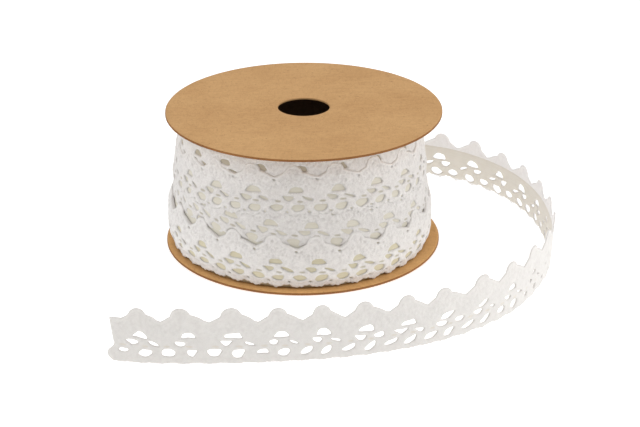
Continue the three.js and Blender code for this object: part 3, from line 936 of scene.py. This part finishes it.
def flange(name, bottom, node_name, material, radius, rim_shift, hole_shift):
    top = bottom + CARD
    hole, bevel = HOLE_RADIUS, CARD_BEVEL
    inner = [(hole, bevel), (hole + bevel, 0), (hole + 1, 0)]
    half = inner + [(radius - 1, 0), (radius - bevel, 0), (radius, bevel)]
    ring = [(place, bottom + height) for place, height in half]
    ring += [(radius + RIM_SWELL, bottom + CARD / 2)]
    ring += [(place, top - height) for place, height in reversed(half)]
    is_edge = [0, 0, 0, 0, 1, 1, 1, 1, 0, 0, 0, 0, 0]
    shifts = [hole_shift if place < hole + 2 else rim_shift for place, _ in ring]
    obj = lathe_object(name, ring, shifts, RIM_SEGMENTS, [material, KRAFT_EDGE], is_edge, RIM_WOBBLE)
    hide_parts(node_name)
    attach(obj, "root")


flange("card_bottom", 0, "flange_bottom", KRAFT_PAINTED_BOUNCE, LOWER_RADIUS, LOWER_RIM_SHIFT, (0, 0))
flange("card_top", SPOOL_HEIGHT - CARD, "flange_top", KRAFT, FLANGE_RADIUS, (0, 0), UPPER_HOLE_SHIFT)


def dress_part(node_name, material):
    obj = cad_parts[node_name]
    obj.data.materials.clear()
    obj.data.materials.append(material)


# The core tube takes the dark card: painted shade inside it.
dress_part("core_tube", TUBE_CARD_PAINTED_SHADE)


# Wound lace.
def is_covered(angle, z, margin):
    """Whether one of the two outer turns lies over a place on the inner turns."""
    covered = np.zeros(angle.shape, bool)
    for turn in (0, 360):
        place = np.mod(angle, 360) + turn
        foot = along(OUTER_FOOT, place)
        valley = foot + ROLL_SCALLOP["valley"][1]
        covered |= (z > foot + margin) & (z < valley - margin) & (place < COVER_END)
    return covered


def cells_in_view(length, up, foot_table):
    """The grid cells of an inner turn that no outer turn and no flange hides."""
    angle = np.degrees(length / WINDING_RADIUS)
    z = along(foot_table, angle) + up
    hidden = is_covered(angle, z, COVER_MARGIN) | (z > TOP_CLIP)
    return ~(hidden[:-1, :-1] & hidden[1:, 1:])


def side_gap_size(angle):
    """Gaps are drawn narrower where the turns bend away at the two sides."""
    off = abs((angle - FRONT_ANGLE + 180) % 360 - 180)
    return float(1 - SIDE_NARROW * smoothstep(off, *SIDE_FROM) * smoothstep(-off, *SIDE_TO))


def wall_foot(length, up, depth, out_table):
    """How deep the wall at an edge goes."""
    stands_out = along(out_table, np.degrees(length / WINDING_RADIUS))
    to_turns = np.maximum(stands_out + INTO_TURNS, depth + LEAST_SCALLOP_WALL)
    to_film = np.maximum(WALL_DEPTH, depth + LEAST_WALL)
    return np.where(up > SCALLOP_WALLS_FROM, to_turns, to_film)


def wound_lace(turn, seed, material, phase=0.0, pull=None, inner=False, low=False):
    """A turn of lace, its face raised and its edges turned down to the turn beneath."""
    start, end, foot_table, out_table = TURNS[turn]
    x0, x1 = start * PER_DEGREE, end * PER_DEGREE
    place = np.linspace(x0, x1, int(round((x1 - x0) / ROLL_STEP)) + 1)
    xs = place - phase * PER_DEGREE
    if pull is not None:
        xs = xs - along(pull, place / PER_DEGREE)
    vs = np.arange(GRID_LOW, GRID_HIGH, ROLL_STEP)

    def size_at(repeat):
        return side_gap_size((repeat + 0.5) * REPEAT / PER_DEGREE + phase)

    distance, top, thin = lace_distance(xs, vs, ROLL_LACE, LOW_DROP if low else ROLL_DROP, size_at)
    grid_x, grid_v = np.meshgrid(xs, vs, indexing="ij")
    grid_place = np.meshgrid(place, vs, indexing="ij")[0]
    bare = thin_share(thin)
    height = weave_height(xs, vs, top, seed) - SLOT_DENT * bare
    keep = cells_in_view(grid_place, grid_v, foot_table) if inner else None
    polygons = contour_polygons(distance, keep)
    used, index = numbered(polygons)
    fields, _ = slot_values(distance, [grid_place, grid_v, distance, height, grid_x, bare], used)
    length, up, inward, raised, pattern_x, bare = fields
    rounded = edge_round(inward)
    foot_taper, tip_taper = (LOW_FOOT_TAPER, LOW_TIP_TAPER) if low else (FOOT_TAPER, TIP_TAPER)
    taper = foot_taper * smoothstep(-up, *FOOT_TAPERS) + tip_taper * smoothstep(up, *TIP_TAPERS)
    depth = WALL_DEPTH / 2 * (1 - rounded) - raised * rounded + taper
    points = on_roll(length, up, depth, foot_table, out_table)

    # Walls from each edge.
    a, b = rim_pairs(polygons, index)
    rim = np.unique(np.concatenate([a, b]))
    lower = np.zeros(len(used), int)
    lower[rim] = len(used) + np.arange(len(rim))
    floor_depth = wall_foot(length, up, depth, out_table)[rim]
    floor = on_roll(length[rim], up[rim], floor_depth, foot_table, out_table)
    faces = [index[ids] for ids, _ in polygons]
    faces.append(np.stack([b, a, lower[a], lower[b]], 1))

    all_x = np.concatenate([pattern_x, pattern_x[rim]])
    all_v = np.concatenate([up, up[rim]])
    pattern = np.stack([all_x, all_v, np.concatenate([depth, np.ones(len(rim))])], 1)
    # The walls take the lowest value, the darkest painted shade.
    painted_relief_shade = np.concatenate([painted_shade_tone(raised, rounded), np.zeros(len(rim))])
    bare = np.concatenate([bare, bare[rim]])
    attributes = {"pattern": pattern, "painted_relief_shade": painted_relief_shade, "bare": bare}
    uv = strip_uv(faces, all_x, all_v, xs[0], xs[-1], TURN_UV_ROWS)
    points = np.concatenate([points, floor])
    obj = mesh_object("lace_turn_" + turn, points, faces, attributes, uv, [material])
    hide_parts("lace_roll")
    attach(obj, "root")


wound_lace("low", 11, COTTON, pull=OUTER_PULL, low=True)
wound_lace("high", 23, COTTON_SHADED, pull=OUTER_PULL)
wound_lace("top", 37, COTTON_SHADED, pull=OUTER_PULL, inner=True)
wound_lace("middle", 41, COTTON_SHADED, phase=164.4, inner=True)
wound_lace("base", 53, COTTON, phase=4, inner=True)


def film_ribbon(turn, low_edge=FILM_EDGE, deep=FILM_DEPTH, taper=0.0):
    """The backing film behind one turn, as points, quads and pattern places."""
    start, end, foot_table, out_table = TURNS[turn]
    angle = np.linspace(start, end, int((end - start) / FILM_DEGREES) + 1)
    vs = np.linspace(low_edge, FILM_TOP, FILM_ROWS)
    grid_x, grid_v = np.meshgrid(np.radians(angle) * WINDING_RADIUS, vs, indexing="ij")
    z = along(foot_table, np.degrees(grid_x / WINDING_RADIUS)) + grid_v
    grid_v = np.where(z > TOP_CLIP, grid_v - (z - TOP_CLIP), grid_v)
    forward = FILM_FORWARD * smoothstep(-grid_v, *FILM_FORWARD_FROM)
    depth = (deep - forward + taper * smoothstep(-grid_v, *FOOT_TAPERS)).ravel()
    points = on_roll(grid_x.ravel(), grid_v.ravel(), depth, foot_table, out_table)
    ids = np.arange(grid_x.size).reshape(grid_x.shape)
    quads = np.stack([ids[:-1, :-1], ids[1:, :-1], ids[1:, 1:], ids[:-1, 1:]], -1).reshape(-1, 4)
    return points, quads, np.stack([grid_x.ravel(), grid_v.ravel(), depth], 1)


def roll_film():
    ribbons = [
        film_ribbon("low", LOW_FILM_EDGE, taper=LOW_FOOT_TAPER),
        film_ribbon("high", taper=FOOT_TAPER / 2),
        film_ribbon("top", deep=DEEP_FILM_DEPTH),
        film_ribbon("middle", MIDDLE_FILM_EDGE, DEEP_FILM_DEPTH),
        film_ribbon("base", deep=DEEP_FILM_DEPTH),
    ]
    materials = [FILM_PAINTED_BOUNCE, FILM, FILM_PAINTED_SHADE]
    material_of_ribbon = [0, 1, 2, 1, 1]
    offsets = np.cumsum([0] + [len(points) for points, _, _ in ribbons])
    points = np.concatenate([ribbon[0] for ribbon in ribbons])
    quads = np.concatenate([ribbon[1] + offset for ribbon, offset in zip(ribbons, offsets)])
    pattern = np.concatenate([ribbon[2] for ribbon in ribbons])
    index = np.repeat(material_of_ribbon, [len(ribbon[1]) for ribbon in ribbons])
    obj = mesh_object("backing_film", points, [quads], {"pattern": pattern}, None, materials, index)
    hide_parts("lace_roll")
    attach(obj, "root")


roll_film()


def inner_drum():
    """The turns under the ones that show, as one closed ring."""
    heights = np.linspace(DRUM_FROM, TOP_CLIP, DRUM_ROWS)
    outer = [(float(along(PROFILE, z)) - DRUM_DEEP, z) for z in heights]
    profile = DRUM_FOOT + outer + [(TUBE_CLEAR, TOP_CLIP)]
    shifts = [(0, 0) if radius < TUBE_CLEAR + 1 else (WINDING_SHIFT, 0) for radius, _ in profile]
    obj = lathe_object("inner_turns", profile, shifts, DRUM_SEGMENTS, [DRUM])
    points = np.zeros(len(obj.data.vertices) * 3)
    obj.data.vertices.foreach_get("co", points)
    place = (points.reshape(-1, 3) - np.array(AXIS)) / MM
    layer = obj.data.attributes.new("pattern", "FLOAT_VECTOR", "POINT")
    layer.data.foreach_set("vector", place.astype(np.float32).ravel())
    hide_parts("lace_roll")
    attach(obj, "root")


inner_drum()


# Loose end: a closed sheet with both faces, and the film on its inner face.
def two_faced(name, distance, xs, vs, front, back, bare, materials, rounded_edge):
    """A closed sheet. Front and back are depth fields, which meet half way at each edge."""
    polygons = contour_polygons(distance)
    used, index = numbered(polygons)
    grid_x, grid_v = np.meshgrid(xs, vs, indexing="ij")
    pulled = grid_x + along(LOOSE_PULL, grid_x)
    fields, on_edge = slot_values(distance, [grid_x, pulled, grid_v, distance, front, back, bare], used)
    pattern_x, length, up, inward, front_depth, back_depth, bare = fields
    shape = edge_round(inward) if rounded_edge else np.where(on_edge, 0, 1)
    middle = (front_depth + back_depth) / 2
    front_at = middle + (front_depth - middle) * shape
    back_at = middle + (back_depth - middle) * shape

    # The back has points of its own inside the edge, and shares those on it.
    inner = np.where(~on_edge)[0]
    behind = np.arange(len(used))
    behind[inner] = len(used) + np.arange(len(inner))
    faces = [index[ids] for ids, _ in polygons]
    backs = [behind[f][:, ::-1] for f in faces]
    back_points = on_tail(length[inner], up[inner], back_at[inner])
    points = np.concatenate([on_tail(length, up, front_at), back_points])

    all_x = np.concatenate([pattern_x, pattern_x[inner]])
    all_v = np.concatenate([up, up[inner]])
    pattern = np.stack([all_x, all_v, np.concatenate([front_at, back_at[inner]])], 1)
    raised = np.concatenate([-LOOSE_THICK / 2 - front_depth, back_depth[inner] - LOOSE_THICK / 2])
    # Painted shade: darker in the weave's hollows and at the rounded edges.
    painted_relief_shade = painted_shade_tone(raised, np.concatenate([shape, shape[inner]]))
    bare = np.concatenate([bare, np.zeros(len(inner))])
    attributes = {"pattern": pattern, "painted_relief_shade": painted_relief_shade, "bare": bare}
    uv = []
    for part, side in enumerate((faces, backs)):
        uv += strip_uv(side, all_x, all_v, xs[0], xs[-1], LOOSE_UV_ROWS, part, 2)
    index = np.repeat([0, len(materials) - 1], sum(len(f) for f in faces))
    return mesh_object(name, points, faces + backs, attributes, uv, materials, index)


def loose_end():
    length = TAIL_REPEATS * REPEAT + TUCKED
    start, end = LOOSE_START, length + LOOSE_AFTER
    xs = np.linspace(start, end, int(round((end - start) / TAIL_STEP)) + 1)
    vs = np.arange(GRID_LOW, GRID_HIGH, TAIL_STEP)

    def size_at(repeat):
        return float(along(LOOSE_SIZES, repeat))

    distance, top, thin = lace_distance(xs, vs, LOOSE_LACE, LOOSE_DROP, size_at)
    grid_x, grid_v = np.meshgrid(xs, vs, indexing="ij")
    ends = np.minimum(grid_x - along(CUT_LINE, grid_v), length - grid_x)
    corner = CUT_TOP + CUT_RISE * np.maximum(grid_x - CUT_RISE_FROM, 0) - grid_v
    filled = np.minimum(np.minimum(CUT_TOP - grid_v, grid_v - CUT_FILL_FROM), CUT_FILL_WIDE - grid_x)
    distance = np.minimum(np.minimum(np.maximum(distance, filled), corner), ends)
    bare = thin_share(thin)
    front = -LOOSE_THICK / 2 - weave_height(xs, vs, top, 61, LOOSE_RELIEF) + LOOSE_DENT * bare
    uncovered = smoothstep(grid_v, FILM_TOP - 0.5, FILM_TOP + 0.2)
    back = LOOSE_THICK / 2 + weave_height(xs, vs, top, 73, LOOSE_RELIEF) * uncovered
    # The inner face takes the brighter cotton: painted light.
    obj = two_faced("lace_loose_end", distance, xs, vs, front, back, bare, [TAIL_COTTON, TAIL_INNER_PAINTED_LIGHT], True)
    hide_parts("lace_tail")
    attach(obj, "root")

    # The film lies on the cloth's inner face, and its edges sink into it.
    rim = np.minimum(grid_v - LOOSE_FILM_LOW, FILM_TOP - grid_v)
    sunk = FILM_SINK * (1 - smoothstep(rim, 0, FILM_SINK_OVER))
    near = LOOSE_THICK / 2 * edge_round(distance) + FILM_RISE - sunk
    inside = np.minimum(distance - FILM_INSET, np.minimum(ends - FILM_END_INSET, rim))
    front, back = near + FILM_FRONT, near + FILM_BACK
    film = two_faced("loose_film", inside, xs, vs, front, back, bare * 0, [TAIL_FILM], False)
    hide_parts("lace_tail")
    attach(film, "root")


loose_end()


# Studio: a white table that glows a little, a white sky and four soft disc lights.
def studio():
    mesh = bpy.data.meshes.new("table")
    half = TABLE_HALF
    corners = [(-half, -half, 0), (half, -half, 0), (half, half, 0), (-half, half, 0)]
    mesh.from_pydata(corners, [], [(0, 1, 2, 3)])
    table = bpy.data.objects.new("table", mesh)
    bpy.context.scene.collection.objects.link(table)
    table.location.z = -TABLE_DROP
    material, _, shader = new_material("table_white")
    set_inputs(shader, {"Base Color": TABLE_WHITE, "Roughness": 0.9})
    set_inputs(shader, {"Emission Color": WHITE, "Emission Strength": TABLE_GLOW})
    mesh.materials.append(material)

    world = bpy.data.worlds.new("studio")
    bpy.context.scene.world = world
    world.use_nodes = True
    set_inputs(world.node_tree.nodes["Background"], {"Color": WHITE, "Strength": SKY_LIGHT})

    for name, place, size, power in LIGHTS:
        data = bpy.data.lights.new(name, "AREA")
        data.shape = "DISK"
        data.size = size
        data.energy = power
        light = bpy.data.objects.new(name, data)
        bpy.context.scene.collection.objects.link(light)
        light.location = AXIS + Vector(place)
        aim = (AXIS + Vector(LIGHTS_AIM)) - light.location
        light.rotation_euler = aim.to_track_quat("-Z", "Y").to_euler()
    bpy.context.scene.view_settings.view_transform = "Standard"


studio()
